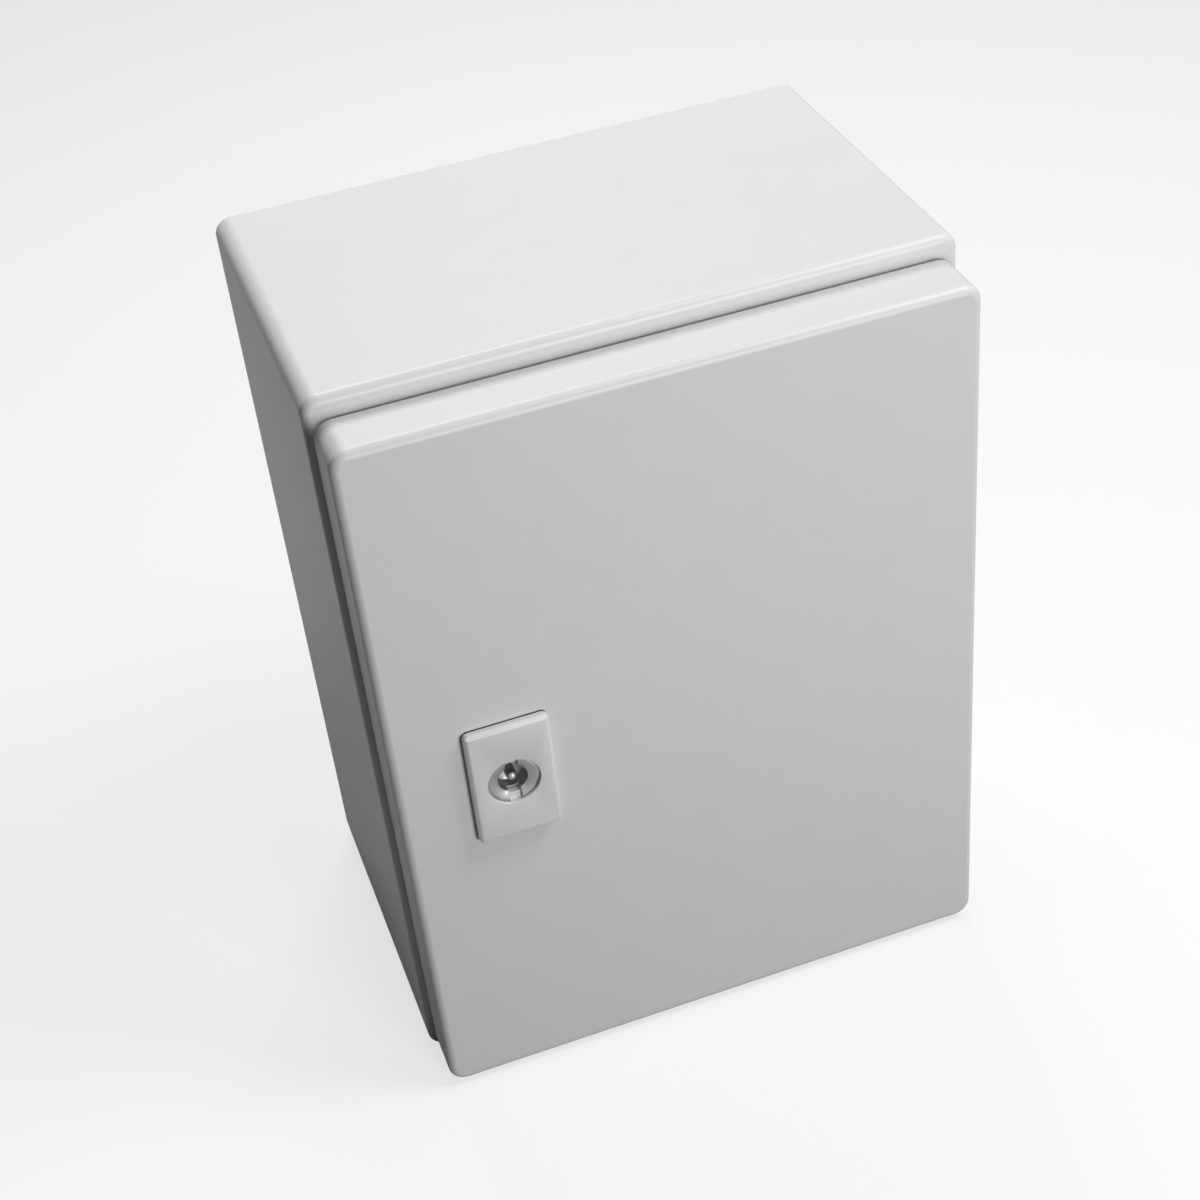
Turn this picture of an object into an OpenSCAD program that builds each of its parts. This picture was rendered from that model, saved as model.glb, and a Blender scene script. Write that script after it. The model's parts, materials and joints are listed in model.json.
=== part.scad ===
// Compact steel wall enclosure: folded body with a raised sealing lip, hinged pan door,
// quarter-turn double-bit lock, mounting plate and gland plate. Millimetres, +Z up.
// The origin is the centre of the wall-fixing holes, on the rear face. The door faces -Y.

/* [Body] */
// Width of the body
body_w = 300; // [260:10:600]
// Height of the body
body_h = 400; // [320:10:800]
// Depth of the body, from the wall to the front rim
body_d = 180; // [130:5:300]
// Sheet thickness of the body
shell_t = 1.5; // [1:0.25:2]
// Outer radius of the body's long edges
body_corner_r = 8; // [6:0.5:12]
// Outer radius of the bend between the walls and the front rim
rim_bend_r = 4; // [3:0.5:5]

/* [Sealing lip] */
// Corner radius of the lip, at its outer face
lip_corner_r = 14; // [12:1:18]
// Inner radius of the bend at the lip's foot
lip_root_r = 1.5; // [1:0.25:2]
// Length of the hem that is folded back inside the lip
lip_hem = 9; // [6:1:12]
// Space between the lip and the swing of the door's edge
lip_clear = 1.5; // [1:0.25:3]

/* [Rear panel] */
// Height of the rear panel's folded edge
rear_fold = 12; // [8:1:15]
// Outer radius of the rear panel's bends
rear_bend_r = 3; // [2.5:0.5:4]
// Diameter of the wall-fixing holes
wall_hole_d = 8.5; // [6.5:0.5:8.5]
// Distance from the body's outside to the wall-fixing holes
wall_hole_inset = 25; // [21:1:25]

/* [Door] */
// How far the door's front stands before the rim
door_proud = 30; // [28:0.5:34]
// Sheet thickness of the door
door_t = 1.5; // [1:0.25:2]
// Outer radius of the bend round the door's front
door_bend_r = 4; // [3:0.5:5]
// Radius of the door's corners
door_corner_r = 9; // [7:0.5:12]
// Distance from the body's sides and foot to the door
door_inset = 3; // [2:0.5:5]
// Distance from the body's top to the door
door_top_inset = 10; // [6:0.5:14]
// Gap between the door's edge and the rim
door_gap = 2; // [1.75:0.25:3]

/* [Door gasket] */
// Width of the foam bead
gasket_w = 14; // [12:0.5:15]
// Height of the foam bead
gasket_h = 10; // [8:0.5:12]
// Radius of the bead's shoulders
gasket_r = 3; // [2:0.5:4]
// How far the closed door presses the lip into the bead
gasket_press = 1.5; // [1:0.25:2.5]
// Space left round the lip in the bead's imprint
gasket_play = 0.6; // [0.5:0.1:0.8]

/* [Hinges] */
// Distance from the door's side to the hinge axis
hinge_in = 6; // [5.5:0.25:6.25]
// Distance from the rim to the hinge axis
hinge_out = 13; // [12.5:0.25:14]
// Distance from the door's top and bottom to the middle of each hinge
hinge_from_end = 65; // [45:5:90]
// Diameter of the hinge pins
pin_d = 4; // [3:0.5:5]
// Radial running clearance of the pin in the bracket
pin_play = 0.05; // [0.03:0.01:0.08]
// Length of the bracket's knuckle
knuckle_len = 18; // [14:1:24]
// Length of each of the leaf's two knuckles
leaf_knuckle_len = 8; // [6:1:10]
// Space between one knuckle and the next, and round them
knuckle_gap = 0.3; // [0.2:0.05:0.4]
// Thickness of the bracket's foot
bracket_t = 3; // [2:0.5:4]
// Height of the bracket's foot
bracket_h = 21; // [20:1:26]
// Thickness of the door leaf's foot
leaf_t = 2; // [1.5:0.5:3]
// Height of the door leaf's foot
leaf_h = 62; // [60:2:70]
// Space between the door leaf and the foam bead
leaf_clear = 1; // [0.5:0.25:1.5]
// Space above and below the bracket in the door's notch
notch_clear = 1.5; // [1:0.25:3]
// How far the notch reaches forward of the hinge axis
notch_reach = 8; // [7.5:0.5:9]

/* [Lock] */
// Distance from the door's left side to the lock axis
lock_from_edge = 55; // [45:1:60]
// Width of the lock's face plate
face_w = 41; // [36:1:46]
// Height of the lock's face plate
face_h = 66; // [58:1:74]
// Thickness of the lock's face plate
face_t = 4.5; // [4:0.25:6]
// Radius of the face plate's corners
face_r = 3; // [2:0.5:4]
// Width of the face plate's bevel
face_bevel = 1.6; // [1:0.2:2.4]
// Diameter of the round turning face
core_face_d = 25.4; // [24.4:0.2:27]
// Depth of the turning face below the face plate
core_recess = 1.2; // [0.6:0.2:1.6]
// Thickness of the turning face
core_face_t = 2; // [1.5:0.25:2.5]
// Diameter of the turning shank
shank_d = 18; // [17:0.5:19]
// Radial clearance round the turning core
core_play = 0.08; // [0.04:0.02:0.1]
// Diameter of the key well
well_d = 14.6; // [13:0.2:15]
// Depth of the key well
well_depth = 10; // [8:1:14]
// Diameter of the pin in the key well
key_pin_d = 5; // [4:0.25:6]
// Width of the two slots for the key's bits
key_slot_w = 6; // [5:0.25:7]
// Depth of the two slots for the key's bits
key_slot_depth = 5; // [4:0.5:7]
// Diameter of the threaded barrel behind the door
barrel_d = 24; // [23:0.5:26]
// Distance across the barrel's two flats
barrel_flats = 21.6; // [21:0.2:22]
// Width across flats of the barrel nut
barrel_nut_af = 30; // [28:1:32]
// Thickness of the barrel nut
barrel_nut_t = 5; // [4:0.5:7]
// Thickness of the face plate's gasket
face_gasket_t = 0.8; // [0.5:0.1:1.2]
// Length of the cam from the lock axis
cam_len = 44; // [42:1:48]
// Width of the cam
cam_w = 15; // [13:1:18]
// Thickness of the cam
cam_t = 3; // [2:0.5:4]
// Side of the square that drives the cam
cam_square = 10; // [9:0.5:11]
// Clearance between the turned cam and the rim
cam_clear = 0.3; // [0.2:0.05:0.5]

/* [Mounting plate] */
// Thickness of the mounting plate
plate_t = 2; // [1.5:0.5:3]
// Space between the mounting plate's edge and the door opening
plate_clear = 5; // [4:0.5:8]
// Length of the spacers behind the mounting plate
spacer_len = 15; // [13:1:25]
// Outer diameter of the spacers
spacer_d = 14; // [12:0.5:16]
// Length of the mounting studs
plate_stud_len = 28; // [27:1:35]
// Distance from the mounting plate's edges to its studs
plate_stud_inset = 15; // [12:1:30]

/* [Gland plate] */
// Width of the cut-out in the bottom
gland_cut_w = 190; // [120:10:190]
// Depth of the cut-out in the bottom
gland_cut_d = 84; // [60:2:84]
// Distance from the wall to the middle of the cut-out
gland_from_wall = 90; // [80:5:90]
// Overlap of the gland plate round the cut-out
gland_lap = 14; // [12:1:16]
// Thickness of the gland plate
gland_t = 2; // [1.5:0.5:3]
// Thickness of the pressed gland gasket
gland_gasket_t = 2; // [1:0.5:3]
// Length of the gland plate's studs
gland_stud_len = 12; // [11:1:15]

/* [Earthing] */
// Length of the earth studs
earth_stud_len = 18; // [16:1:20]
// Distance from the wall to the body's earth stud
earth_from_wall = 60; // [40:5:80]
// Distance from the door's right side to its earth stud
door_earth_inset = 70; // [50:5:90]
// Distance from the door's bottom to its earth stud
door_earth_rise = 42; // [38:1:60]

/* [Fasteners] */
// Radial clearance of a nut on its thread
thread_play = 0.03; // [0.01:0.01:0.05]
// Radial clearance of a hole round a screw or stud
hole_play = 0.3; // [0.2:0.05:0.5]

/* [Hidden] */
$fn = 64;
eps = 1;

// metric sizes: [thread diameter, nut width across flats, nut height, washer diameter, washer thickness]
M4 = [4, 7, 3.2, 9, 0.8];
M5 = [5, 8, 4, 10, 1];
M6 = [6, 10, 5, 12, 1.6];
M8 = [8, 13, 6.5, 16, 1.6];

// depths, measured out from the wall
door_back = body_d + door_gap;
door_front = body_d + door_proud;
door_inner = door_front - door_t;
gasket_back = door_inner - gasket_h;
lip_top = gasket_back + gasket_press;
hinge_z = body_d + hinge_out;

// door outline
door_w = body_w - 2 * door_inset;
door_h = body_h - door_inset - door_top_inset;
door_y = (door_inset - door_top_inset) / 2;

// the door's edge swings round the hinge with this radius, and the lip stands clear of it
swing_r = norm([hinge_in, hinge_out - door_gap]);
lip_inset = hinge_in + swing_r + lip_clear;
lip_w = door_w - 2 * lip_inset;
lip_h = door_h - 2 * lip_inset;
opening_w = lip_w - 4 * shell_t;
opening_h = lip_h - 4 * shell_t;

// rear panel, set in flush between the walls
inner_w = body_w - 2 * shell_t;
inner_h = body_h - 2 * shell_t;
inner_corner_r = body_corner_r - shell_t;
wall_hole_x = body_w / 2 - wall_hole_inset;
wall_hole_y = body_h / 2 - wall_hole_inset;

// hinges
hinge_x = door_w / 2 - hinge_in;
hinge_ys = [door_y + door_h / 2 - hinge_from_end, door_y - door_h / 2 + hinge_from_end];
// the bracket's foot reaches from the bend at the lip's foot to just past the axis
knuckle_r = hinge_in - door_t - knuckle_gap;
bracket_left = swing_r + lip_clear - lip_root_r;
bracket_right = 2.5;
screw_head_d = 7;
screw_head_h = 2.6;
screw_edge = 1;
screw_tip = 1;
bracket_screw_x = -(bracket_left + knuckle_r) / 2;
bracket_screw_y = bracket_h / 2 - screw_head_d / 2 - screw_edge;
leaf_reach = door_inner - hinge_z;
leaf_right = hinge_in - door_bend_r;
leaf_left = hinge_x - (lip_w / 2 - shell_t + gasket_w / 2) - leaf_clear;
leaf_stud_x = (leaf_right - leaf_left) / 2;
leaf_stud_inset = 6.5;
leaf_stud_y = leaf_h / 2 - leaf_stud_inset;
leaf_stud_len = 9;
pin_head_d = 7;
pin_head_h = 1.4;

// lock
lock_x = -door_w / 2 + lock_from_edge;
lock_y = door_y;
face_back = door_front + face_gasket_t;
face_front = face_back + face_t;
core_front = face_front - core_recess;
core_seat = core_front - core_face_t;
core_bore_d = shank_d + 2 * core_play;
core_cup_d = core_face_d + 2 * core_play;
cam_front = body_d - shell_t - cam_clear;
cam_back = cam_front - cam_t;
cam_corner_r = cam_w / 2;
dish_margin = 1.7;
dish_d = core_face_d - 2 * dish_margin;
dish_depth = 1.6;
core_end_play = 0.05;
square_short = 0.2;
cam_screw_len = 16;
cam_screw_head_h = 4;
cam_washer_d = 16;

// mounting plate, centred behind the door opening
plate_w = opening_w - 2 * plate_clear;
plate_h = opening_h - 2 * plate_clear;
plate_r = 5;
plate_back = shell_t + spacer_len;
plate_front = plate_back + plate_t;
plate_stud_x = plate_w / 2 - plate_stud_inset;
plate_stud_y = plate_h / 2 - plate_stud_inset;

// gland plate, measured up from the inside of the bottom
floor_y = -body_h / 2 + shell_t;
gland_w = gland_cut_w + 2 * gland_lap;
gland_d = gland_cut_d + 2 * gland_lap;
gland_r = 8;
gland_bolt_x = (gland_cut_w + gland_lap) / 2;
gland_bolt_z = (gland_cut_d + gland_lap) / 2;
gland_bolts = [for (x = [-1, 0, 1], z = [-1, 1]) [x * gland_bolt_x, z * gland_bolt_z]];

// earth studs; the body's one stands midway between the gland plate and the side wall
earth_x = (gland_w + inner_w) / 4;
door_earth_x = door_w / 2 - door_earth_inset;
door_earth_y = door_y - door_h / 2 + door_earth_rise;

powder = "#c9cacb";
foam = "#3c3d3f";
zinc = "#b9bdbf";
rubber = "#2b2b2c";

// ---------- helpers ----------

// Everything is drawn lying on its back, with z rising from the wall, and is stood up here.
module upright() {
    rotate([90, 0, 0]) children();
}

// Turns a shape so that its z points up off the floor of the body.
module on_floor() {
    translate([0, floor_y, gland_from_wall]) rotate([-90, 0, 0]) children();
}

module rounded_rect(w, h, r) {
    square([w - 2 * r, h], center = true);
    square([w, h - 2 * r], center = true);
    for (x = [-1, 1], y = [-1, 1]) {
        translate([x * (w / 2 - r), y * (h / 2 - r)]) circle(r);
    }
}

module quarter_bend(r, t) {
    intersection() {
        difference() {
            circle(r);
            circle(r - t);
        }
        square(r);
    }
}

// Runs a section round a rectangle with corner radius r. The section's x is measured
// outwards from the corner's centre, and its y is the height.
module swept_frame(w, h, r) {
    for (k = [0 : 3]) {
        across = k % 2 == 0 ? w : h;
        along = k % 2 == 0 ? h : w;
        rotate([0, 0, 90 * k]) {
            translate([across / 2 - r, 0, 0]) {
                rotate([90, 0, 0]) linear_extrude(along - 2 * r, center = true) children();
            }
            translate([across / 2 - r, along / 2 - r, 0]) rotate_extrude(angle = 90) children();
        }
    }
}

// A hexagon with the corners of its upper face chamfered down to a circle at 30 degrees.
module hexagon_head(af, h) {
    face_r = 0.48 * af;
    intersection() {
        cylinder(d = af / cos(30), h = h, $fn = 6);
        cylinder(r1 = face_r + h / tan(30), r2 = face_r, h = h);
    }
}

module nut(size) {
    difference() {
        hexagon_head(size[1], size[2]);
        translate([0, 0, -eps]) cylinder(d = size[0] + 2 * thread_play, h = size[2] + 2 * eps);
    }
}

module washer(size) {
    difference() {
        cylinder(d = size[3], h = size[4]);
        translate([0, 0, -eps]) cylinder(d = size[0] + 2 * hole_play, h = size[4] + 2 * eps);
    }
}

// A welded stud with a small lead-in at its tip.
module stud(size, len) {
    tip = size[0] / 8;
    cylinder(d = size[0], h = len - tip);
    translate([0, 0, len - tip]) cylinder(d1 = size[0], d2 = size[0] - 2 * tip, h = tip);
}

module four(x, y) {
    for (sx = [-1, 1], sy = [-1, 1]) {
        translate([sx * x, sy * y, 0]) children();
    }
}

// ---------- body ----------

module wall_section() {
    translate([body_corner_r - shell_t, 0]) square([shell_t, body_d - rim_bend_r]);
    translate([body_corner_r - rim_bend_r, body_d - rim_bend_r]) quarter_bend(rim_bend_r, shell_t);
}

// The lip: a bend forward off the rim, the wall, the round edge and the hem behind it.
module lip_section() {
    foot = body_d + lip_root_r;
    edge = lip_top - shell_t;
    translate([lip_corner_r + lip_root_r, foot]) {
        rotate(180) quarter_bend(lip_root_r + shell_t, shell_t);
    }
    translate([lip_corner_r - shell_t, foot]) square([shell_t, edge - foot]);
    translate([lip_corner_r - 2 * shell_t, edge - lip_hem]) square([shell_t, lip_hem]);
    translate([lip_corner_r - shell_t, edge]) {
        intersection() {
            circle(shell_t);
            translate([-shell_t, 0]) square([2 * shell_t, shell_t]);
        }
    }
}

module rim_plate() {
    translate([0, 0, body_d - shell_t]) {
        linear_extrude(shell_t) {
            difference() {
                rounded_rect(body_w - 2 * rim_bend_r, body_h - 2 * rim_bend_r,
                             body_corner_r - rim_bend_r);
                translate([0, door_y]) {
                    rounded_rect(lip_w + 2 * lip_root_r, lip_h + 2 * lip_root_r,
                                 lip_corner_r + lip_root_r);
                }
            }
        }
    }
}

module bracket_screw_places() {
    for (y = hinge_ys, sy = [-1, 1]) {
        translate([hinge_x + bracket_screw_x, y + sy * bracket_screw_y, 0]) children();
    }
}

module body_shell() {
    color(powder) upright() {
        difference() {
            union() {
                swept_frame(body_w, body_h, body_corner_r) wall_section();
                rim_plate();
                translate([0, door_y, 0]) {
                    swept_frame(lip_w, lip_h, lip_corner_r) lip_section();
                }
            }
            on_floor() {
                translate([0, 0, -shell_t - eps]) {
                    linear_extrude(shell_t + 2 * eps) rounded_rect(gland_cut_w, gland_cut_d, gland_r);
                }
            }
            bracket_screw_places() {
                translate([0, 0, body_d - shell_t - eps]) {
                    cylinder(d = M4[0] + 2 * hole_play, h = shell_t + 2 * eps);
                }
            }
        }
    }
}

module rear_section() {
    translate([inner_corner_r - rear_bend_r, rear_bend_r]) {
        rotate(-90) quarter_bend(rear_bend_r, shell_t);
    }
    translate([inner_corner_r - shell_t, rear_bend_r]) square([shell_t, rear_fold - rear_bend_r]);
}

module rear_panel() {
    color(powder) upright() {
        difference() {
            union() {
                swept_frame(inner_w, inner_h, inner_corner_r) rear_section();
                linear_extrude(shell_t) {
                    rounded_rect(inner_w - 2 * rear_bend_r, inner_h - 2 * rear_bend_r,
                                 inner_corner_r - rear_bend_r);
                }
            }
            four(wall_hole_x, wall_hole_y) {
                translate([0, 0, -eps]) cylinder(d = wall_hole_d, h = shell_t + 2 * eps);
            }
        }
    }
}

// ---------- mounting plate ----------

module plate_stud_places(z) {
    upright() translate([0, door_y, z]) four(plate_stud_x, plate_stud_y) children();
}

module plate_studs() {
    color(zinc) plate_stud_places(shell_t) stud(M8, plate_stud_len);
}

module plate_spacers() {
    color(zinc) plate_stud_places(shell_t) {
        difference() {
            cylinder(d = spacer_d, h = spacer_len);
            translate([0, 0, -eps]) cylinder(d = M8[0] + 2 * hole_play, h = spacer_len + 2 * eps);
        }
    }
}

module mounting_plate() {
    color(zinc) upright() translate([0, door_y, plate_back]) {
        linear_extrude(plate_t) {
            difference() {
                rounded_rect(plate_w, plate_h, plate_r);
                for (sx = [-1, 1], sy = [-1, 1]) {
                    translate([sx * plate_stud_x, sy * plate_stud_y]) circle(d = M8[0] + 2 * hole_play);
                }
            }
        }
    }
}

module plate_washers() {
    color(zinc) plate_stud_places(plate_front) washer(M8);
}

module plate_nuts() {
    color(zinc) plate_stud_places(plate_front + M8[4]) nut(M8);
}

// ---------- gland plate ----------

module gland_bolt_places(h) {
    upright() on_floor() {
        for (p = gland_bolts) {
            translate([p[0], p[1], h]) children();
        }
    }
}

module gland_holes() {
    for (p = gland_bolts) {
        translate(p) circle(d = M5[0] + 2 * hole_play);
    }
}

module gland_studs() {
    color(zinc) gland_bolt_places(0) stud(M5, gland_stud_len);
}

module gland_gasket() {
    color(foam) upright() on_floor() {
        linear_extrude(gland_gasket_t) {
            difference() {
                rounded_rect(gland_w, gland_d, gland_r);
                rounded_rect(gland_cut_w, gland_cut_d, gland_r);
                gland_holes();
            }
        }
    }
}

module gland_plate() {
    color(zinc) upright() on_floor() {
        translate([0, 0, gland_gasket_t]) {
            linear_extrude(gland_t) {
                difference() {
                    rounded_rect(gland_w, gland_d, gland_r);
                    gland_holes();
                }
            }
        }
    }
}

module gland_washers() {
    color(zinc) gland_bolt_places(gland_gasket_t + gland_t) washer(M5);
}

module gland_nuts() {
    color(zinc) gland_bolt_places(gland_gasket_t + gland_t + M5[4]) nut(M5);
}

// ---------- earth studs ----------

module body_earth_place(h) {
    upright() {
        translate([earth_x, floor_y + h, earth_from_wall]) rotate([-90, 0, 0]) children();
    }
}

module body_earth_stud() {
    color(zinc) body_earth_place(0) stud(M8, earth_stud_len);
}

module body_earth_washer() {
    color(zinc) body_earth_place(0) washer(M8);
}

module body_earth_nut() {
    color(zinc) body_earth_place(M8[4]) nut(M8);
}

module door_earth_place(h) {
    upright() {
        translate([door_earth_x, door_earth_y, door_inner - h]) rotate([180, 0, 0]) children();
    }
}

module door_earth_stud() {
    color(zinc) door_earth_place(0) stud(M6, earth_stud_len);
}

module door_earth_washer() {
    color(zinc) door_earth_place(0) washer(M6);
}

module door_earth_nut() {
    color(zinc) door_earth_place(M6[4]) nut(M6);
}

// ---------- hinges ----------

// The hinge axis runs along y through the origin of each hinge piece.
module hinge_place(k) {
    upright() translate([hinge_x, hinge_ys[k], hinge_z]) children();
}

module along_axis(d, len) {
    rotate([90, 0, 0]) cylinder(d = d, h = len, center = true);
}

// Foot on the rim, and an arm behind the knuckle that the open door's edge passes.
module hinge_bracket(k) {
    color(zinc) hinge_place(k) {
        difference() {
            union() {
                translate([-bracket_left, -bracket_h / 2, -hinge_out]) {
                    cube([bracket_left + bracket_right, bracket_h, bracket_t]);
                }
                translate([-knuckle_r, -knuckle_len / 2, -hinge_out]) {
                    cube([knuckle_r + bracket_right, knuckle_len, hinge_out]);
                }
                along_axis(2 * knuckle_r, knuckle_len);
            }
            along_axis(pin_d + 2 * pin_play, knuckle_len + 2 * eps);
            for (sy = [-1, 1]) {
                translate([bracket_screw_x, sy * bracket_screw_y, -hinge_out - eps]) {
                    cylinder(d = M4[0] + 2 * hole_play, h = bracket_t + 2 * eps);
                }
            }
        }
    }
}

// Foot on the door's inner face, with one knuckle above and one below the bracket's.
module hinge_leaf(k) {
    knuckle_y = (knuckle_len + leaf_knuckle_len) / 2 + knuckle_gap;
    color(zinc) hinge_place(k) {
        difference() {
            union() {
                translate([-leaf_left, -leaf_h / 2, leaf_reach - leaf_t]) {
                    cube([leaf_left + leaf_right, leaf_h, leaf_t]);
                }
                for (sy = [-1, 1]) {
                    translate([0, sy * knuckle_y, 0]) {
                        along_axis(2 * knuckle_r, leaf_knuckle_len);
                        translate([-knuckle_r, -leaf_knuckle_len / 2, 0]) {
                            cube([knuckle_r + leaf_right, leaf_knuckle_len, leaf_reach]);
                        }
                    }
                }
            }
            along_axis(pin_d, knuckle_len + 2 * leaf_knuckle_len + 2 * knuckle_gap + 2 * eps);
            for (sy = [-1, 1]) {
                translate([leaf_stud_x, sy * leaf_stud_y, leaf_reach - leaf_t - eps]) {
                    cylinder(d = M4[0] + 2 * hole_play, h = leaf_t + 2 * eps);
                }
            }
        }
    }
}

module hinge_pin(k) {
    reach = knuckle_len / 2 + knuckle_gap + leaf_knuckle_len;
    color(zinc) hinge_place(k) {
        along_axis(pin_d, 2 * reach);
        translate([0, reach + pin_head_h / 2, 0]) along_axis(pin_head_d, pin_head_h);
    }
}

module bracket_screws() {
    under_head = body_d + bracket_t;
    color(zinc) upright() bracket_screw_places() {
        translate([0, 0, under_head]) cylinder(d = screw_head_d, h = screw_head_h);
        translate([0, 0, body_d - shell_t - M4[2] - screw_tip]) {
            cylinder(d = M4[0], h = bracket_t + shell_t + M4[2] + screw_tip);
        }
    }
}

module bracket_nuts() {
    color(zinc) upright() bracket_screw_places() {
        translate([0, 0, body_d - shell_t]) rotate([180, 0, 0]) nut(M4);
    }
}

module leaf_stud_places(h) {
    upright() {
        for (y = hinge_ys, sy = [-1, 1]) {
            translate([hinge_x + leaf_stud_x, y + sy * leaf_stud_y, door_inner - h]) {
                rotate([180, 0, 0]) children();
            }
        }
    }
}

module leaf_studs() {
    color(zinc) leaf_stud_places(0) stud(M4, leaf_stud_len);
}

module leaf_nuts() {
    color(zinc) leaf_stud_places(leaf_t) nut(M4);
}

// ---------- door ----------

module door_section() {
    translate([door_corner_r - door_t, door_back]) {
        square([door_t, door_front - door_bend_r - door_back]);
    }
    translate([door_corner_r - door_bend_r, door_front - door_bend_r]) {
        quarter_bend(door_bend_r, door_t);
    }
}

// The barrel's outline: round, with a flat on the left and on the right.
module barrel_outline(play) {
    intersection() {
        circle(d = barrel_d + 2 * play);
        square([barrel_flats + 2 * play, barrel_d + 2 * eps], center = true);
    }
}

module door_panel() {
    notch_h = bracket_h + 2 * notch_clear;
    notch_d = hinge_z + notch_reach - door_back;
    color(powder) upright() {
        difference() {
            translate([0, door_y, 0]) {
                swept_frame(door_w, door_h, door_corner_r) door_section();
                translate([0, 0, door_inner]) {
                    linear_extrude(door_t) {
                        rounded_rect(door_w - 2 * door_bend_r, door_h - 2 * door_bend_r,
                                     door_corner_r - door_bend_r);
                    }
                }
            }
            for (y = hinge_ys) {
                translate([door_w / 2 - door_t - eps, y - notch_h / 2, door_back - eps]) {
                    cube([door_t + 2 * eps, notch_h, notch_d + eps]);
                }
            }
            translate([lock_x, lock_y, door_inner - eps]) {
                linear_extrude(door_t + 2 * eps) barrel_outline(hole_play);
            }
        }
    }
}

// A poured foam bead with shoulders, marked by the lip that presses into it.
module gasket_section() {
    middle = lip_corner_r - shell_t;
    imprint = shell_t + gasket_play;
    difference() {
        union() {
            translate([middle - gasket_w / 2, gasket_back + gasket_r]) {
                square([gasket_w, gasket_h - gasket_r]);
            }
            translate([middle - gasket_w / 2 + gasket_r, gasket_back]) {
                square([gasket_w - 2 * gasket_r, gasket_r + eps]);
            }
            for (s = [-1, 1]) {
                translate([middle + s * (gasket_w / 2 - gasket_r), gasket_back + gasket_r]) {
                    circle(gasket_r);
                }
            }
        }
        translate([middle, lip_top - shell_t]) circle(imprint);
        translate([middle - imprint, gasket_back - eps]) {
            square([2 * imprint, lip_top - shell_t - gasket_back + eps]);
        }
    }
}

module door_gasket() {
    color(foam) upright() translate([0, door_y, 0]) {
        swept_frame(lip_w, lip_h, lip_corner_r) gasket_section();
    }
}

// ---------- lock ----------

module lock_place() {
    upright() translate([lock_x, lock_y, 0]) children();
}

// A plate whose four upper edges are bevelled.
module bevelled_plate(w, h, t, r, bevel) {
    intersection() {
        linear_extrude(t) rounded_rect(w, h, r);
        rotate([90, 0, 0]) linear_extrude(h + 2 * eps, center = true) bevelled_side(w, t, bevel);
        rotate([90, 0, 90]) linear_extrude(w + 2 * eps, center = true) bevelled_side(h, t, bevel);
    }
}

module bevelled_side(w, t, bevel) {
    polygon([
        [-w / 2 - eps, -eps], [w / 2 + eps, -eps], [w / 2 + eps, t - bevel - eps],
        [w / 2 - bevel, t], [-w / 2 + bevel, t], [-w / 2 - eps, t - bevel - eps]
    ]);
}

module lock_housing() {
    barrel_end = cam_front + cam_clear;
    color(powder) lock_place() {
        difference() {
            union() {
                translate([0, 0, face_back]) bevelled_plate(face_w, face_h, face_t, face_r, face_bevel);
                translate([0, 0, barrel_end]) {
                    linear_extrude(face_back - barrel_end + eps) barrel_outline(0);
                }
            }
            translate([0, 0, barrel_end - eps]) cylinder(d = core_bore_d, h = face_front - barrel_end);
            translate([0, 0, core_seat - core_end_play]) cylinder(d = core_cup_d, h = face_t);
        }
    }
}

module lock_face_gasket() {
    color(rubber) lock_place() {
        translate([0, 0, door_front]) {
            linear_extrude(face_gasket_t) {
                difference() {
                    rounded_rect(face_w, face_h, face_r);
                    barrel_outline(hole_play);
                }
            }
        }
    }
}

module lock_nut() {
    color(zinc) lock_place() {
        translate([0, 0, door_inner]) rotate([180, 0, 0]) {
            nut([barrel_d, barrel_nut_af, barrel_nut_t]);
        }
    }
}

// The turning core: dished face, key well with its pin, two bit slots, and the cam's square.
module lock_core() {
    well_floor = core_front - well_depth;
    pin_top = core_front - dish_depth;
    color(zinc) lock_place() {
        difference() {
            union() {
                translate([0, 0, core_seat]) cylinder(d = core_face_d, h = core_face_t);
                translate([0, 0, cam_front]) cylinder(d = shank_d, h = core_seat - cam_front);
                translate([-cam_square / 2, -cam_square / 2, cam_back + square_short]) {
                    cube([cam_square, cam_square, cam_t]);
                }
            }
            translate([0, 0, well_floor]) cylinder(d = well_d, h = well_depth + eps);
            translate([0, 0, core_front - dish_depth]) {
                cylinder(d1 = well_d, d2 = dish_d, h = dish_depth);
            }
            translate([-key_slot_w / 2, -core_face_d, core_front - key_slot_depth]) {
                cube([key_slot_w, 2 * core_face_d, key_slot_depth + eps]);
            }
            translate([0, 0, cam_back - eps]) {
                cylinder(d = M6[0] + 2 * thread_play, h = cam_screw_len + eps);
            }
        }
        translate([0, 0, well_floor - eps]) {
            cylinder(d = key_pin_d, h = pin_top - key_pin_d / 2 - well_floor + eps);
        }
        translate([0, 0, pin_top - key_pin_d / 2]) sphere(d = key_pin_d);
    }
}

// Hangs down while the door is free, and turns to the left to catch behind the rim.
module lock_cam() {
    color(zinc) lock_place() translate([0, 0, cam_back]) {
        linear_extrude(cam_t) {
            difference() {
                union() {
                    circle(d = barrel_flats);
                    translate([0, -cam_len + cam_corner_r]) circle(cam_corner_r);
                    translate([-cam_w / 2, -cam_len + cam_corner_r]) square([cam_w, cam_len - cam_corner_r]);
                }
                square(cam_square + 2 * core_play, center = true);
            }
        }
    }
}

module cam_washer() {
    color(zinc) lock_place() {
        translate([0, 0, cam_back]) rotate([180, 0, 0]) washer([M6[0], M6[1], M6[2], cam_washer_d, M6[4]]);
    }
}

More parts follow.
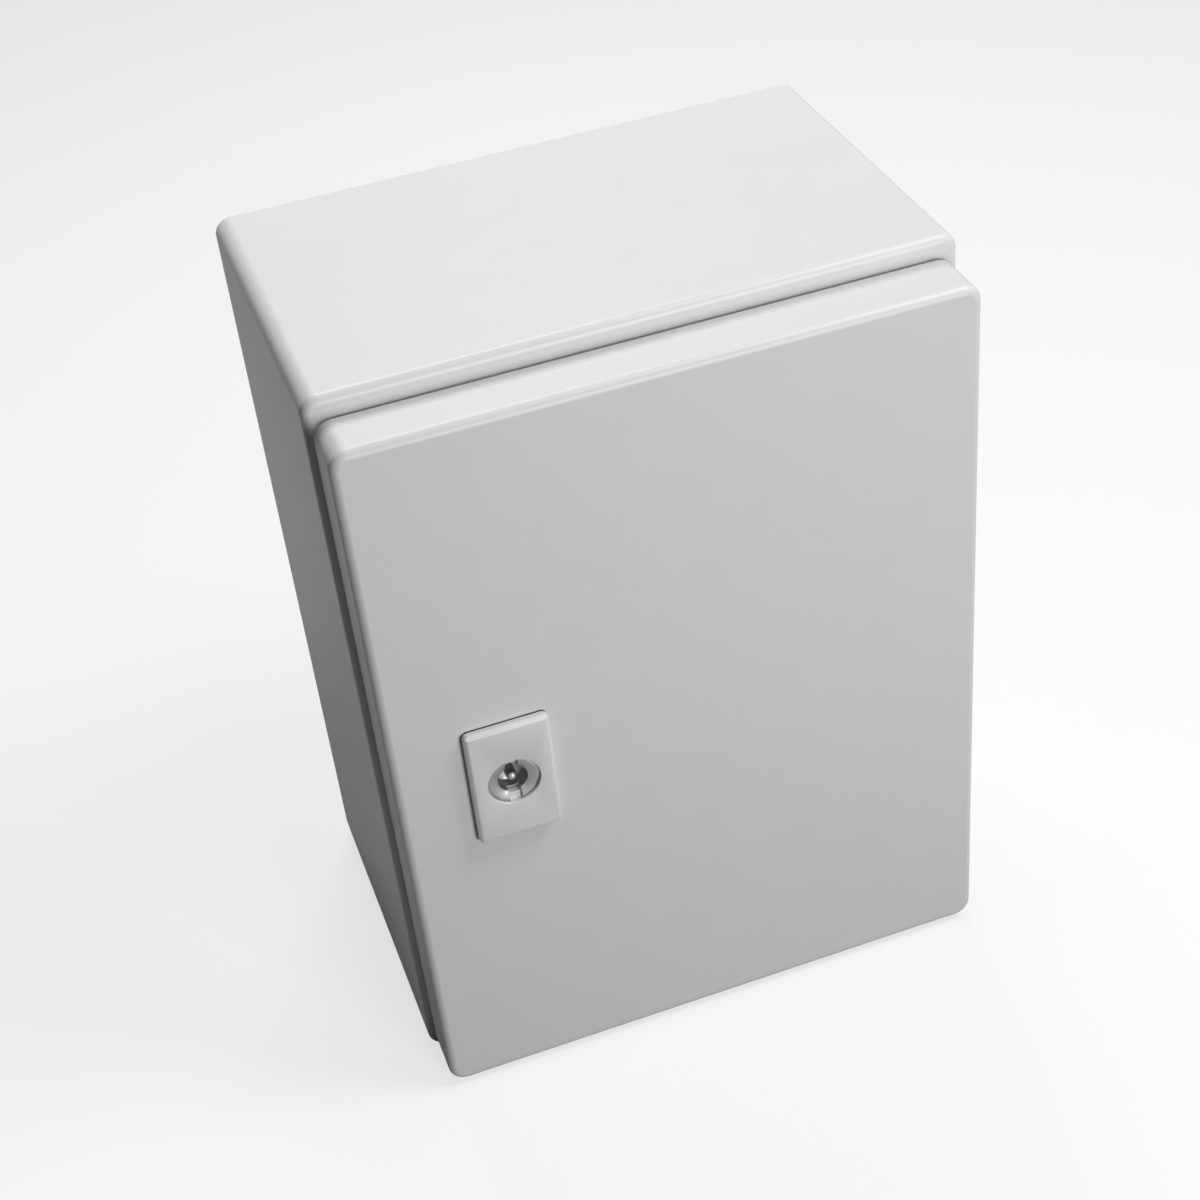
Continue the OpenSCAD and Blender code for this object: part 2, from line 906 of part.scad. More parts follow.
module cam_screw() {
    color(zinc) lock_place() {
        translate([0, 0, cam_back - M6[4]]) {
            rotate([180, 0, 0]) hexagon_head(M6[1], cam_screw_head_h);
            cylinder(d = M6[0], h = cam_screw_len);
        }
    }
}

body_shell();
rear_panel();
plate_studs();
plate_spacers();
mounting_plate();
plate_washers();
plate_nuts();
gland_studs();
gland_gasket();
gland_plate();
gland_washers();
gland_nuts();
body_earth_stud();
body_earth_washer();
body_earth_nut();
hinge_bracket(0);  // hinge_bracket_upper
hinge_bracket(1);  // hinge_bracket_lower
bracket_screws();
bracket_nuts();
door_panel();
door_gasket();
hinge_leaf(0);  // hinge_leaf_upper
hinge_leaf(1);  // hinge_leaf_lower
leaf_studs();
leaf_nuts();
hinge_pin(0);  // hinge_pin_upper
hinge_pin(1);  // hinge_pin_lower
door_earth_stud();
door_earth_washer();
door_earth_nut();
lock_housing();
lock_face_gasket();
lock_nut();
lock_core();
lock_cam();
cam_washer();
cam_screw();
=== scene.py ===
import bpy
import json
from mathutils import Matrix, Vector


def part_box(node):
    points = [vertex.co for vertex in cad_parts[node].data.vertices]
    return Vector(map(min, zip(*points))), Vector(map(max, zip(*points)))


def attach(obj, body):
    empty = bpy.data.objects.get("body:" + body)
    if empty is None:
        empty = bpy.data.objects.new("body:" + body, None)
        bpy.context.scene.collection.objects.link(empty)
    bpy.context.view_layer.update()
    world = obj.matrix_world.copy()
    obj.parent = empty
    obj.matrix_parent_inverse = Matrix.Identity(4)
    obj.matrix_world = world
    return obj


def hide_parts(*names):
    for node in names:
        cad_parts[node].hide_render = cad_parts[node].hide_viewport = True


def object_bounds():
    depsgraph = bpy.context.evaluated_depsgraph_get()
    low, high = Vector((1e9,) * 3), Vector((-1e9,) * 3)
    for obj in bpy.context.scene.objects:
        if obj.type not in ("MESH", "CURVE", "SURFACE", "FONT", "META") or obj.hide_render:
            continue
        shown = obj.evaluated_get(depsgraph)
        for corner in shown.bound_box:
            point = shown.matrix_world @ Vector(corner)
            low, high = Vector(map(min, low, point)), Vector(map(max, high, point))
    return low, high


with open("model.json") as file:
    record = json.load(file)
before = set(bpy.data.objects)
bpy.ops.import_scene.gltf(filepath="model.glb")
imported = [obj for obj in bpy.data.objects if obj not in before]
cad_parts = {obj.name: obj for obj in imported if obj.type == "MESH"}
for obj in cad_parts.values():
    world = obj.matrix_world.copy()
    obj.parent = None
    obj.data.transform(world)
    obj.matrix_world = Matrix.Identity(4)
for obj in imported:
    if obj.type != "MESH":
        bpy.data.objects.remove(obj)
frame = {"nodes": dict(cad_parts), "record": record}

cad_box = [[float(c) for c in corner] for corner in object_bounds()]

# ---- Camera ----
# A lens of about 64 mm on 36 mm film, seen from above and from the left of the door, with the
# camera leaning a little to one side, so that the box tips to the left in the frame.
from math import radians

import bpy
from mathutils import Quaternion, Vector

lens_mm = 64.3
film_mm = 36.0
camera_distance = 0.9517
camera_left = radians(15.48)
camera_above = radians(37.44)
camera_lean = radians(-6.55)

door_low, door_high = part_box("door_panel")
look_at = Vector((-0.0401, door_low.y, 0.0811))
turned = Quaternion((0, 0, 1), -camera_left) @ Quaternion((1, 0, 0), -camera_above)
view_line = turned @ Vector((0, 1, 0))

camera_data = bpy.data.cameras.new("camera")
camera_data.lens = lens_mm
camera_data.sensor_width = film_mm
camera = bpy.data.objects.new("camera", camera_data)
camera.location = look_at - camera_distance * view_line
camera.rotation_mode = "QUATERNION"
camera.rotation_quaternion = (
    view_line.to_track_quat("-Z", "Y") @ Quaternion((0, 0, 1), camera_lean)
)
bpy.context.scene.collection.objects.link(camera)
bpy.context.scene.camera = camera
bpy.context.scene.view_settings.view_transform = "Standard"


# ---- Floor and surroundings ----
# A plain pale floor under the box, and a plain white surround. To the eye both are white, in
# gloss they are a pale card with the box's shadow on it, and they send little stray light back.
def srgb(code):
    """A hex colour as linear RGBA."""
    values = [int(code[k:k + 2], 16) / 255 for k in (1, 3, 5)]
    return [v / 12.92 if v <= 0.04045 else ((v + 0.055) / 1.055) ** 2.4 for v in values] + [1.0]


def add_node(tree, kind, settings=None, links=None):
    """Adds a node. Settings go to its properties or its sockets, and links join its inputs."""
    new = tree.nodes.new(kind)
    for name, value in (settings or {}).items():
        if isinstance(name, str) and hasattr(new, name):
            setattr(new, name, value)
        else:
            new.inputs[name].default_value = value
    for name, socket in (links or {}).items():
        tree.links.new(socket, new.inputs[name])
    return new


def new_material(name):
    material = bpy.data.materials.new(name)
    material.use_nodes = True
    material.node_tree.nodes.clear()
    return material, material.node_tree


def seen_in_gloss(tree, path):
    """1 for what is seen in gloss or through glass."""
    return add_node(tree, "ShaderNodeMath", {"operation": "MAXIMUM"},
                    {0: path.outputs["Is Glossy Ray"],
                     1: path.outputs["Is Transmission Ray"]}).outputs[0]


floor_width = 12.0
floor_white = 0.7
stray_light = 0.04

floor_material, tree = new_material("pale floor")
path = add_node(tree, "ShaderNodeLightPath")
card = add_node(tree, "ShaderNodeBsdfDiffuse", {"Color": srgb("#f4f4f4")})
dark_card = add_node(tree, "ShaderNodeBsdfDiffuse", {"Color": srgb("#3c3c3c")})
white = add_node(tree, "ShaderNodeEmission", {"Color": (1, 1, 1, 1), "Strength": 1.0})
bright_floor = add_node(tree, "ShaderNodeMixShader", {0: floor_white},
                        {1: card.outputs[0], 2: white.outputs[0]})
gloss_mix = add_node(tree, "ShaderNodeMixShader", {},
                     {0: seen_in_gloss(tree, path), 1: dark_card.outputs[0], 2: card.outputs[0]})
floor_mix = add_node(tree, "ShaderNodeMixShader", {},
                     {0: path.outputs["Is Camera Ray"], 1: gloss_mix.outputs[0],
                      2: bright_floor.outputs[0]})
add_node(tree, "ShaderNodeOutputMaterial", {}, {"Surface": floor_mix.outputs[0]})

bpy.ops.object.select_all(action="DESELECT")
bpy.ops.mesh.primitive_plane_add(size=floor_width, location=(0, 0, cad_box[0][2]))
floor = bpy.context.object
floor.name = "floor"
floor.data.materials.append(floor_material)

surround = bpy.data.worlds.new("surround")
surround.use_nodes = True
tree = surround.node_tree
tree.nodes.clear()
path = add_node(tree, "ShaderNodeLightPath")
seen = add_node(tree, "ShaderNodeMath", {"operation": "MAXIMUM"},
                {0: path.outputs["Is Camera Ray"], 1: seen_in_gloss(tree, path)})
room = add_node(tree, "ShaderNodeBackground", {"Color": (1, 1, 1, 1), "Strength": stray_light})
paper = add_node(tree, "ShaderNodeBackground", {"Color": (1, 1, 1, 1), "Strength": 1.0})
room_mix = add_node(tree, "ShaderNodeMixShader", {},
                    {0: seen.outputs[0], 1: room.outputs[0], 2: paper.outputs[0]})
add_node(tree, "ShaderNodeOutputWorld", {}, {"Surface": room_mix.outputs[0]})
bpy.context.scene.world = surround


# ---- Lamps ----
# Four soft boxes: a wide low one in front, which lights the door and draws a thin line along the
# bends, one high on the right and one behind for the top, and a small one at the left rear edge.
def soft_box(name, place, aim, width, height, watts):
    data = bpy.data.lights.new(name, "AREA")
    data.shape = "RECTANGLE"
    data.size = width
    data.size_y = height
    data.energy = watts
    lamp = bpy.data.objects.new(name, data)
    lamp.location = place
    lamp.rotation_mode = "QUATERNION"
    lamp.rotation_quaternion = (Vector(aim) - Vector(place)).to_track_quat("-Z", "Y")
    bpy.context.scene.collection.objects.link(lamp)


soft_box("soft_box_front", (0.28, -1.40, 0.22), (0, -0.1, 0.05), 0.5, 0.4, 10)
soft_box("soft_box_right", (0.745, -0.53, 1.28), (0, -0.1, 0.05), 0.55, 0.55, 13.5)
soft_box("soft_box_back", (0.08, 0.75, 1.28), (0, -0.1, 0.05), 0.7, 0.55, 12)
soft_box("soft_box_left", (-0.34, 0.12, 0.32), (-0.1, -0.05, 0.15), 0.3, 0.3, 0.15)


# ---- Body, rear panel and door ----
# Folded from 1.5 mm steel sheet, with welded and ground corners, and polyester powder coat baked
# on all over: a satin light grey skin with a fine orange peel, and a few tiny inclusions.
def texture_place(tree):
    """Object coordinates in millimetres."""
    place = add_node(tree, "ShaderNodeTexCoord")
    return add_node(tree, "ShaderNodeVectorMath", {"operation": "MULTIPLY", 1: (1000, 1000, 1000)},
                    {0: place.outputs["Object"]}).outputs[0]


def dress(names, material):
    """Puts one material on CAD nodes."""
    for name in names:
        slots = frame["nodes"][name].data.materials
        for k in range(len(slots)):
            slots[k] = material


peel_mm = 1.6
peel_height = 0.000014
wave_mm = 26
coat_grey = "#cbccce"
coat_pale = "#cfd0d1"
coat_speck = "#a9aaab"
speck_mm = 17
speck_share = 0.012

powder, tree = new_material("powder coat")
mm = texture_place(tree)
peel = add_node(tree, "ShaderNodeTexNoise", {"Scale": 1 / peel_mm, "Detail": 2.0, "Roughness": 0.45},
                {"Vector": mm})
peel_bump = add_node(tree, "ShaderNodeBump", {"Strength": 1.0, "Distance": peel_height},
                     {"Height": peel.outputs["Fac"]})
wave = add_node(tree, "ShaderNodeTexNoise", {"Scale": 1 / wave_mm, "Detail": 3.0}, {"Vector": mm})
tone = add_node(tree, "ShaderNodeMix",
                {"data_type": "RGBA", 6: srgb(coat_grey), 7: srgb(coat_pale)},
                {0: wave.outputs["Fac"]})
specks = add_node(tree, "ShaderNodeTexVoronoi", {"Scale": 1 / speck_mm}, {"Vector": mm})
speck_mask = add_node(tree, "ShaderNodeMath", {"operation": "LESS_THAN", 1: speck_share},
                      {0: specks.outputs["Distance"]})
speckled = add_node(tree, "ShaderNodeMix", {"data_type": "RGBA", 7: srgb(coat_speck)},
                    {0: speck_mask.outputs[0], 6: tone.outputs[2]})
gloss = add_node(tree, "ShaderNodeMapRange", {3: 0.38, 4: 0.46}, {0: wave.outputs["Fac"]})
coat = add_node(tree, "ShaderNodeBsdfPrincipled", {"IOR": 1.5},
                {"Base Color": speckled.outputs[2], "Roughness": gloss.outputs[0],
                 "Normal": peel_bump.outputs[0]})
add_node(tree, "ShaderNodeOutputMaterial", {}, {"Surface": coat.outputs[0]})

dress(["body_shell", "rear_panel", "door_panel"], powder)


# ---- Welded studs ----
# Steel studs with rolled metric threads, zinc plated and shot onto the sheet: four for the
# mounting plate, six for the gland plate, and one for the body's earth.
def body_of(node):
    for body, held in frame["record"]["behaviour"]["bodies"].items():
        if node in held:
            return body


def stand_in(piece, node, material):
    """Finishes a piece that takes a CAD node's place: its body and its material."""
    piece.data.materials.clear()
    piece.data.materials.append(material)
    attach(piece, body_of(node))
    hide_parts(node)


def active_piece(piece):
    bpy.ops.object.select_all(action="DESELECT")
    piece.select_set(True)
    bpy.context.view_layer.objects.active = piece


def apply_modifier(piece, kind, settings):
    active_piece(piece)
    modifier = piece.modifiers.new(kind.lower(), kind)
    for name, value in settings.items():
        setattr(modifier, name, value)
    bpy.ops.object.modifier_apply(modifier=modifier.name)


def edit_all(piece, *steps):
    """Runs edit mode operators on the whole mesh of a piece."""
    active_piece(piece)
    bpy.ops.object.mode_set(mode="EDIT")
    bpy.ops.mesh.select_all(action="SELECT")
    for step in steps:
        step()
    bpy.ops.object.mode_set(mode="OBJECT")


def joined(pieces, name):
    bpy.ops.object.select_all(action="DESELECT")
    for piece in pieces:
        piece.select_set(True)
    bpy.context.view_layer.objects.active = pieces[0]
    if len(pieces) > 1:
        bpy.ops.object.join()
    piece = bpy.context.view_layer.objects.active
    piece.name = name
    return piece


def threaded_rod(diameter, pitch, length, tip):
    """A threaded rod along +Z from the origin: a core with a chamfered tip, and a helical ridge."""
    depth = 0.54 * pitch
    core_r = diameter / 2 - depth
    bpy.ops.object.select_all(action="DESELECT")
    bpy.ops.mesh.primitive_cylinder_add(vertices=32, radius=core_r, depth=length,
                                        location=(0, 0, length / 2))
    core = bpy.context.object
    bpy.ops.object.transform_apply(location=True, rotation=True, scale=True)
    apply_modifier(core, "BEVEL", {"width": tip / 2, "segments": 1, "limit_method": "ANGLE",
                                   "angle_limit": radians(60)})
    root_r = core_r - depth / 4
    profile = [(root_r, -0.44), (diameter / 2, -0.06), (diameter / 2, 0.06), (root_r, 0.44)]
    mesh = bpy.data.meshes.new("ridge")
    mesh.from_pydata([(r, 0, (z + 0.5) * pitch) for r, z in profile],
                     [(0, 1), (1, 2), (2, 3), (3, 0)], [])
    ridge = bpy.data.objects.new("ridge", mesh)
    bpy.context.scene.collection.objects.link(ridge)
    turns = int((length - tip) / pitch) - 1
    apply_modifier(ridge, "SCREW", {"angle": radians(360), "screw_offset": pitch,
                                    "iterations": turns, "steps": 24, "render_steps": 24})

    def close_ends():
        bpy.ops.mesh.remove_doubles(threshold=0.000001)
        bpy.ops.mesh.fill_holes(sides=0)
        bpy.ops.mesh.normals_make_consistent(inside=False)

    edit_all(ridge, close_ends)
    return joined([core, ridge], "rod")


def copies_at(model, name, places, turn=(0, 0, 0)):
    """Turned copies of a model at their places, each with its own mesh, joined in one piece."""
    copies = []
    for place in places:
        copy = model.copy()
        copy.data = model.data.copy()
        copy.rotation_euler = turn
        copy.location = place
        bpy.context.scene.collection.objects.link(copy)
        copies.append(copy)
    bpy.data.objects.remove(model)
    piece = joined(copies, name)
    bpy.ops.object.transform_apply(location=True, rotation=True, scale=True)
    bpy.ops.object.shade_smooth_by_angle(angle=radians(30))
    return piece


plate_bright = "#c9cdd1"
plate_dull = "#b3b8be"
plate_cloud_mm = 3.5

# Electroplated zinc with a clear passivation: a bright bluish grey with cloudy, satin patches.
zinc_plate, tree = new_material("zinc plate")
mm = texture_place(tree)
cloud = add_node(tree, "ShaderNodeTexNoise", {"Scale": 1 / plate_cloud_mm, "Detail": 3.0},
                 {"Vector": mm})
tone = add_node(tree, "ShaderNodeMix",
                {"data_type": "RGBA", 6: srgb(plate_dull), 7: srgb(plate_bright)},
                {0: cloud.outputs["Fac"]})
gloss = add_node(tree, "ShaderNodeMapRange", {3: 0.24, 4: 0.38}, {0: cloud.outputs["Fac"]})
plating = add_node(tree, "ShaderNodeBsdfPrincipled", {"Metallic": 1.0},
                   {"Base Color": tone.outputs[2], "Roughness": gloss.outputs[0]})
add_node(tree, "ShaderNodeOutputMaterial", {}, {"Surface": plating.outputs[0]})

m8, m8_pitch = 0.008, 0.00125
m6, m6_pitch = 0.006, 0.001
m5, m5_pitch = 0.005, 0.0008
m4, m4_pitch = 0.004, 0.0007
facing_front = (radians(90), 0, 0)
facing_wall = (radians(-90), 0, 0)


def corner_places(node, radius, y):
    """The feet of four studs at the corners of a node's box, at one depth."""
    low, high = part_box(node)
    return [(x, y, z) for x in (low.x + radius, high.x - radius)
            for z in (low.z + radius, high.z - radius)]


low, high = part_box("plate_studs")
stand_in(copies_at(threaded_rod(m8, m8_pitch, high.y - low.y, m8 / 8), "plate_stud_threads",
                   corner_places("plate_studs", m8 / 2, high.y), facing_front),
         "plate_studs", zinc_plate)

low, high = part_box("gland_studs")
gland_places = [(x, y, low.z) for x in (low.x + m5 / 2, 0, high.x - m5 / 2)
                for y in (low.y + m5 / 2, high.y - m5 / 2)]
stand_in(copies_at(threaded_rod(m5, m5_pitch, high.z - low.z, m5 / 8), "gland_stud_threads",
                   gland_places), "gland_studs", zinc_plate)

low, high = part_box("body_earth_stud")
stand_in(copies_at(threaded_rod(m8, m8_pitch, high.z - low.z, m8 / 8), "body_earth_thread",
                   [((low.x + high.x) / 2, (low.y + high.y) / 2, low.z)]),
         "body_earth_stud", zinc_plate)


# ---- Nuts, washers and spacers ----
# Cold-formed hexagon nuts, stamped washers and turned spacers, all zinc plated. Barrelling has
# taken the sharpness off every edge.
def eased(node, width, material, segments=2):
    """A copy of a CAD node with its loose triangles merged and its sharp edges rounded."""
    piece = bpy.data.objects.new(node + "_eased", frame["nodes"][node].data.copy())
    bpy.context.scene.collection.objects.link(piece)

    def merge():
        bpy.ops.mesh.customdata_custom_splitnormals_clear()
        bpy.ops.mesh.remove_doubles(threshold=0.00001)
        bpy.ops.mesh.dissolve_limited(angle_limit=radians(1))

    edit_all(piece, merge)
    apply_modifier(piece, "BEVEL", {"width": width, "segments": segments, "limit_method": "ANGLE",
                                    "angle_limit": radians(28), "use_clamp_overlap": True})
    active_piece(piece)
    bpy.ops.object.shade_smooth_by_angle(angle=radians(32))
    stand_in(piece, node, material)
    return piece


turned_edge = 0.0003
stamped_edge = 0.0002

for node in ("plate_nuts", "plate_spacers", "gland_nuts", "body_earth_nut"):
    eased(node, turned_edge, zinc_plate)
for node in ("plate_washers", "gland_washers", "body_earth_washer"):
    eased(node, stamped_edge, zinc_plate)


# ---- Mounting plate and gland plate ----
# Cut from hot-dip galvanised sheet and left bare. The zinc has frozen in flat crystals, each with
# its own shade and gloss, and the cut edges are slightly rounded.
spangle_mm = 7
grain_mm = 0.8
grain_height = 0.00001
crystal_warp = 5
cut_edge = 0.0003
spangle_bright = "#c6cacc"
spangle_dull = "#a2a7ab"

galvanised, tree = new_material("galvanised sheet")
mm = texture_place(tree)
warp = add_node(tree, "ShaderNodeTexNoise", {"Scale": 1 / (2 * spangle_mm), "Detail": 2.0},
                {"Vector": mm})
bent = add_node(tree, "ShaderNodeVectorMath", {"operation": "MULTIPLY_ADD", 1: 3 * (crystal_warp,)},
                {0: warp.outputs["Color"], 2: mm})
crystals = add_node(tree, "ShaderNodeTexVoronoi", {"Scale": 1 / spangle_mm},
                    {"Vector": bent.outputs[0]})
shade = add_node(tree, "ShaderNodeSeparateColor", {}, {0: crystals.outputs["Color"]})
grain = add_node(tree, "ShaderNodeTexNoise", {"Scale": 1 / grain_mm, "Detail": 3.0},
                 {"Vector": mm})
blend = add_node(tree, "ShaderNodeMath", {"operation": "MULTIPLY_ADD", 1: 0.7},
                 {0: shade.outputs[0], 2: grain.outputs["Fac"]})
tone = add_node(tree, "ShaderNodeMix",
                {"data_type": "RGBA", 6: srgb(spangle_dull), 7: srgb(spangle_bright)},
                {0: blend.outputs[0]})
gloss = add_node(tree, "ShaderNodeMapRange", {3: 0.3, 4: 0.46}, {0: shade.outputs[1]})
grain_bump = add_node(tree, "ShaderNodeBump", {"Strength": 0.6, "Distance": grain_height},
                      {"Height": grain.outputs["Fac"]})
zinc_skin = add_node(tree, "ShaderNodeBsdfPrincipled", {"Metallic": 1.0},
                     {"Base Color": tone.outputs[2], "Roughness": gloss.outputs[0],
                      "Normal": grain_bump.outputs[0]})
add_node(tree, "ShaderNodeOutputMaterial", {}, {"Surface": zinc_skin.outputs[0]})

eased("mounting_plate", cut_edge, galvanised)
eased("gland_plate", cut_edge, galvanised)


# ---- Foam seals ----
# Polyurethane foam, poured on the door and under the gland plate. It rises to a soft, slightly
# uneven bead with a closed matt skin and small pores.
foam_grey = "#2d2e30"
foam_pale = "#3c3d3f"
pore_mm = 1.1
pore_depth = 0.00012
foam_edge = 0.0004

foam, tree = new_material("polyurethane foam")
mm = texture_place(tree)
pores = add_node(tree, "ShaderNodeTexVoronoi", {"Scale": 1 / pore_mm}, {"Vector": mm})
cloud = add_node(tree, "ShaderNodeTexNoise", {"Scale": 1 / (6 * pore_mm), "Detail": 4.0},
                 {"Vector": mm})
tone = add_node(tree, "ShaderNodeMix",
                {"data_type": "RGBA", 6: srgb(foam_grey), 7: srgb(foam_pale)},
                {0: cloud.outputs["Fac"]})
pore_bump = add_node(tree, "ShaderNodeBump", {"Strength": 0.8, "Distance": pore_depth},
                     {"Height": pores.outputs["Distance"]})
cells = add_node(tree, "ShaderNodeBsdfPrincipled", {"Roughness": 0.85, "IOR": 1.45},
                 {"Base Color": tone.outputs[2], "Normal": pore_bump.outputs[0]})
add_node(tree, "ShaderNodeOutputMaterial", {}, {"Surface": cells.outputs[0]})

foam_voxel = 0.001
foam_swell = 0.00035
swell_size = 0.012


def poured(node):
    """A copy of a CAD seal, made into an even skin, softened and made slightly uneven."""
    piece = bpy.data.objects.new(node + "_bead", frame["nodes"][node].data.copy())
    bpy.context.scene.collection.objects.link(piece)

    def merge():
        bpy.ops.mesh.customdata_custom_splitnormals_clear()
        bpy.ops.mesh.remove_doubles(threshold=0.00001)

    edit_all(piece, merge)
    apply_modifier(piece, "REMESH", {"mode": "VOXEL", "voxel_size": foam_voxel})
    apply_modifier(piece, "SMOOTH", {"factor": 0.5, "iterations": 6})
    unevenness = bpy.data.textures.new("unevenness", "CLOUDS")
    unevenness.noise_scale = swell_size
    apply_modifier(piece, "DISPLACE", {"texture": unevenness, "texture_coords": "LOCAL",
                                       "strength": foam_swell, "mid_level": 0.5})
    bpy.data.textures.remove(unevenness)
    for face in piece.data.polygons:
        face.use_smooth = True
    stand_in(piece, node, foam)
    return piece


poured("door_gasket")
eased("gland_gasket", foam_edge, foam)


# ---- Hinges ----
# Zinc die-castings, tumbled and left bare, with a satin grey skin: a bracket that is screwed to
# the body's rim, and a leaf on two studs in the door. A headed steel pin drops through both.
cast_grey = "#a3a5a7"
cast_pale = "#b9bbbc"
tumble_mm = 1.4
tumble_height = 0.00002
cast_edge = 0.0004
pin_edge = 0.00025

die_cast, tree = new_material("tumbled zinc die-casting")
mm = texture_place(tree)
tumble = add_node(tree, "ShaderNodeTexNoise", {"Scale": 1 / tumble_mm, "Detail": 4.0},
                  {"Vector": mm})
tone = add_node(tree, "ShaderNodeMix",
                {"data_type": "RGBA", 6: srgb(cast_grey), 7: srgb(cast_pale)},
                {0: tumble.outputs["Fac"]})
gloss = add_node(tree, "ShaderNodeMapRange", {3: 0.36, 4: 0.5}, {0: tumble.outputs["Fac"]})
tumble_bump = add_node(tree, "ShaderNodeBump", {"Strength": 0.7, "Distance": tumble_height},
                       {"Height": tumble.outputs["Fac"]})
casting = add_node(tree, "ShaderNodeBsdfPrincipled", {"Metallic": 1.0},
                   {"Base Color": tone.outputs[2], "Roughness": gloss.outputs[0],
                    "Normal": tumble_bump.outputs[0]})
add_node(tree, "ShaderNodeOutputMaterial", {}, {"Surface": casting.outputs[0]})

for node in ("hinge_bracket_upper", "hinge_bracket_lower", "hinge_leaf_upper", "hinge_leaf_lower"):
    eased(node, cast_edge, die_cast)
for node in ("hinge_pin_upper", "hinge_pin_lower", "bracket_nuts", "leaf_nuts"):
    eased(node, pin_edge, zinc_plate)

low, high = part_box("leaf_studs")
leaf_rise = high.z - m4 / 2
leaf_middles = [(bottom.z + top.z) / 2 for bottom, top in
                (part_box("hinge_bracket_upper"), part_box("hinge_bracket_lower"))]
leaf_reach = leaf_rise - leaf_middles[0]
leaf_places = [((low.x + high.x) / 2, low.y, z + s * leaf_reach)
               for z in leaf_middles for s in (-1, 1)]
stand_in(copies_at(threaded_rod(m4, m4_pitch, high.y - low.y, m4 / 8), "leaf_stud_threads",
                   leaf_places, facing_wall), "leaf_studs", zinc_plate)

# The bracket's screws have a cross recess, punched in the head.
recess_width = 0.0042
recess_wall = 0.0009
recess_depth = 0.0016
screw_head_r = 0.0035
screw_edge = 0.0006


def cross_recessed(node, radius):
    """Rounds a node's screws and cuts a cross recess in each head, at the front."""
    low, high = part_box(node)
    screws = eased(node, screw_edge, zinc_plate, 3)
    places = [(low.x + radius, low.y, z + s * (high.z - radius - leaf_middles[0]))
              for z in leaf_middles for s in (-1, 1)]
    bars = []
    for place in places:
        for size in ((recess_width, recess_wall), (recess_wall, recess_width)):
            bpy.ops.object.select_all(action="DESELECT")
            bpy.ops.mesh.primitive_cube_add(size=1, location=place)
            bar = bpy.context.object
            bar.scale = (size[0], 2 * recess_depth, size[1])
            bpy.ops.object.transform_apply(location=True, rotation=True, scale=True)
            apply_modifier(screws, "BOOLEAN", {"object": bar, "operation": "DIFFERENCE",
                                               "solver": "EXACT"})
            bars.append(bar)
    for bar in bars:
        bpy.data.objects.remove(bar)
    active_piece(screws)
    bpy.ops.object.shade_smooth_by_angle(angle=radians(32))


cross_recessed("bracket_screws", screw_head_r)


# ---- Lock ----
# The housing is a zinc die-casting, painted in the door's grey, with a barrel behind the face
# plate that a flat nut clamps to the door. The cam is stamped steel on the core's square.
flow_mm = 3
flow_height = 0.000015

# Wet paint on a casting flows a little, so the gloss is even and the skin softly waved.
lock_paint, tree = new_material("painted die-casting")
mm = texture_place(tree)
flow = add_node(tree, "ShaderNodeTexNoise", {"Scale": 1 / flow_mm, "Detail": 2.0}, {"Vector": mm})
flow_bump = add_node(tree, "ShaderNodeBump", {"Strength": 0.8, "Distance": flow_height},
                     {"Height": flow.outputs["Fac"]})
tone = add_node(tree, "ShaderNodeMix",
                {"data_type": "RGBA", 6: srgb(coat_grey), 7: srgb(coat_pale)},
                {0: flow.outputs["Fac"]})
paint = add_node(tree, "ShaderNodeBsdfPrincipled", {"Roughness": 0.36, "IOR": 1.5},
                 {"Base Color": tone.outputs[2], "Normal": flow_bump.outputs[0]})
add_node(tree, "ShaderNodeOutputMaterial", {}, {"Surface": paint.outputs[0]})

housing_edge = 0.0005
eased("lock_housing", housing_edge, lock_paint, 3)
for node in ("lock_nut", "lock_cam", "cam_washer", "cam_screw"):
    eased(node, turned_edge, zinc_plate)
for node in ("door_earth_washer", "door_earth_nut"):
    eased(node, turned_edge, zinc_plate)

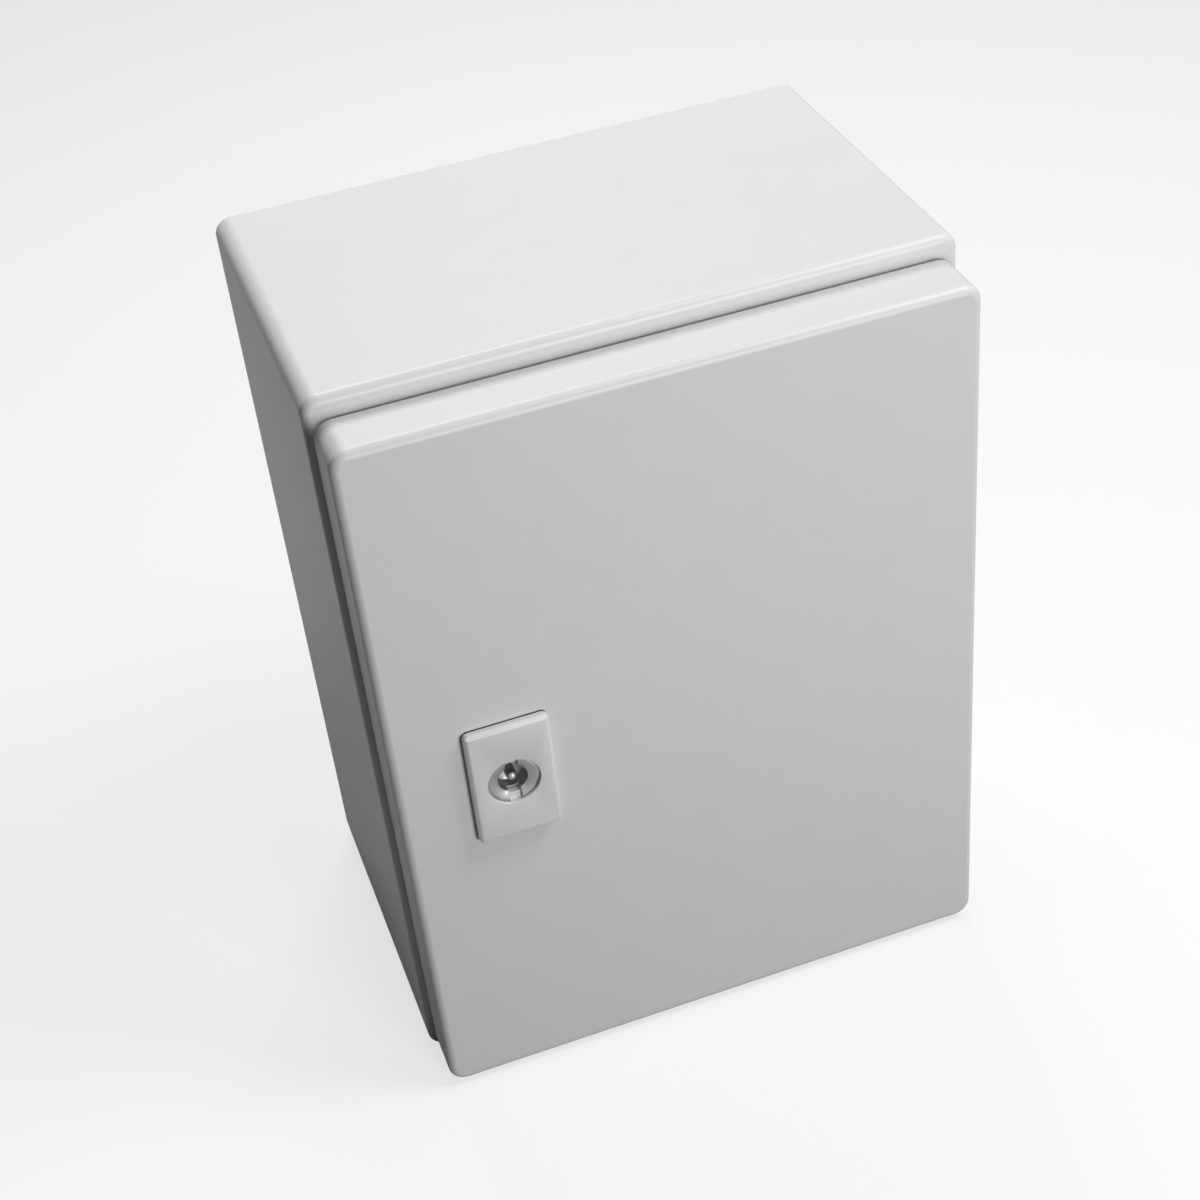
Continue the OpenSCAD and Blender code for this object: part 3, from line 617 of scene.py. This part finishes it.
low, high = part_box("door_earth_stud")
stand_in(copies_at(threaded_rod(m6, m6_pitch, high.y - low.y, m6 / 8), "door_earth_thread",
                   [((low.x + high.x) / 2, low.y, (low.z + high.z) / 2)], facing_wall),
         "door_earth_stud", zinc_plate)

core_grey = "#8f9092"
core_pale = "#a2a3a4"
satin_mm = 0.7
satin_height = 0.00001
core_edge = 0.00025

# The core is a die-casting, tumbled and nickel plated: a grey satin metal with a warm cast.
nickel, tree = new_material("satin nickel plate")
mm = texture_place(tree)
satin = add_node(tree, "ShaderNodeTexNoise", {"Scale": 1 / satin_mm, "Detail": 3.0}, {"Vector": mm})
tone = add_node(tree, "ShaderNodeMix",
                {"data_type": "RGBA", 6: srgb(core_grey), 7: srgb(core_pale)},
                {0: satin.outputs["Fac"]})
satin_bump = add_node(tree, "ShaderNodeBump", {"Strength": 0.5, "Distance": satin_height},
                      {"Height": satin.outputs["Fac"]})
plate = add_node(tree, "ShaderNodeBsdfPrincipled", {"Metallic": 1.0, "Roughness": 0.36},
                 {"Base Color": tone.outputs[2], "Normal": satin_bump.outputs[0]})
add_node(tree, "ShaderNodeOutputMaterial", {}, {"Surface": plate.outputs[0]})

eased("lock_core", core_edge, nickel)

rubber_black = "#19191a"
rubber_bloom = "#232324"
bloom_mm = 2
gasket_edge = 0.0002

# The thin gasket under the face plate is cut from rubber sheet: matt black with a faint bloom.
rubber, tree = new_material("EPDM rubber")
mm = texture_place(tree)
bloom = add_node(tree, "ShaderNodeTexNoise", {"Scale": 1 / bloom_mm, "Detail": 3.0}, {"Vector": mm})
tone = add_node(tree, "ShaderNodeMix",
                {"data_type": "RGBA", 6: srgb(rubber_black), 7: srgb(rubber_bloom)},
                {0: bloom.outputs["Fac"]})
elastic = add_node(tree, "ShaderNodeBsdfPrincipled", {"Roughness": 0.6, "IOR": 1.5},
                   {"Base Color": tone.outputs[2]})
add_node(tree, "ShaderNodeOutputMaterial", {}, {"Surface": elastic.outputs[0]})

eased("lock_face_gasket", gasket_edge, rubber)


# ---- Sizes ----
# Both boxes in metres, the frame's and the dressed model's.
import json
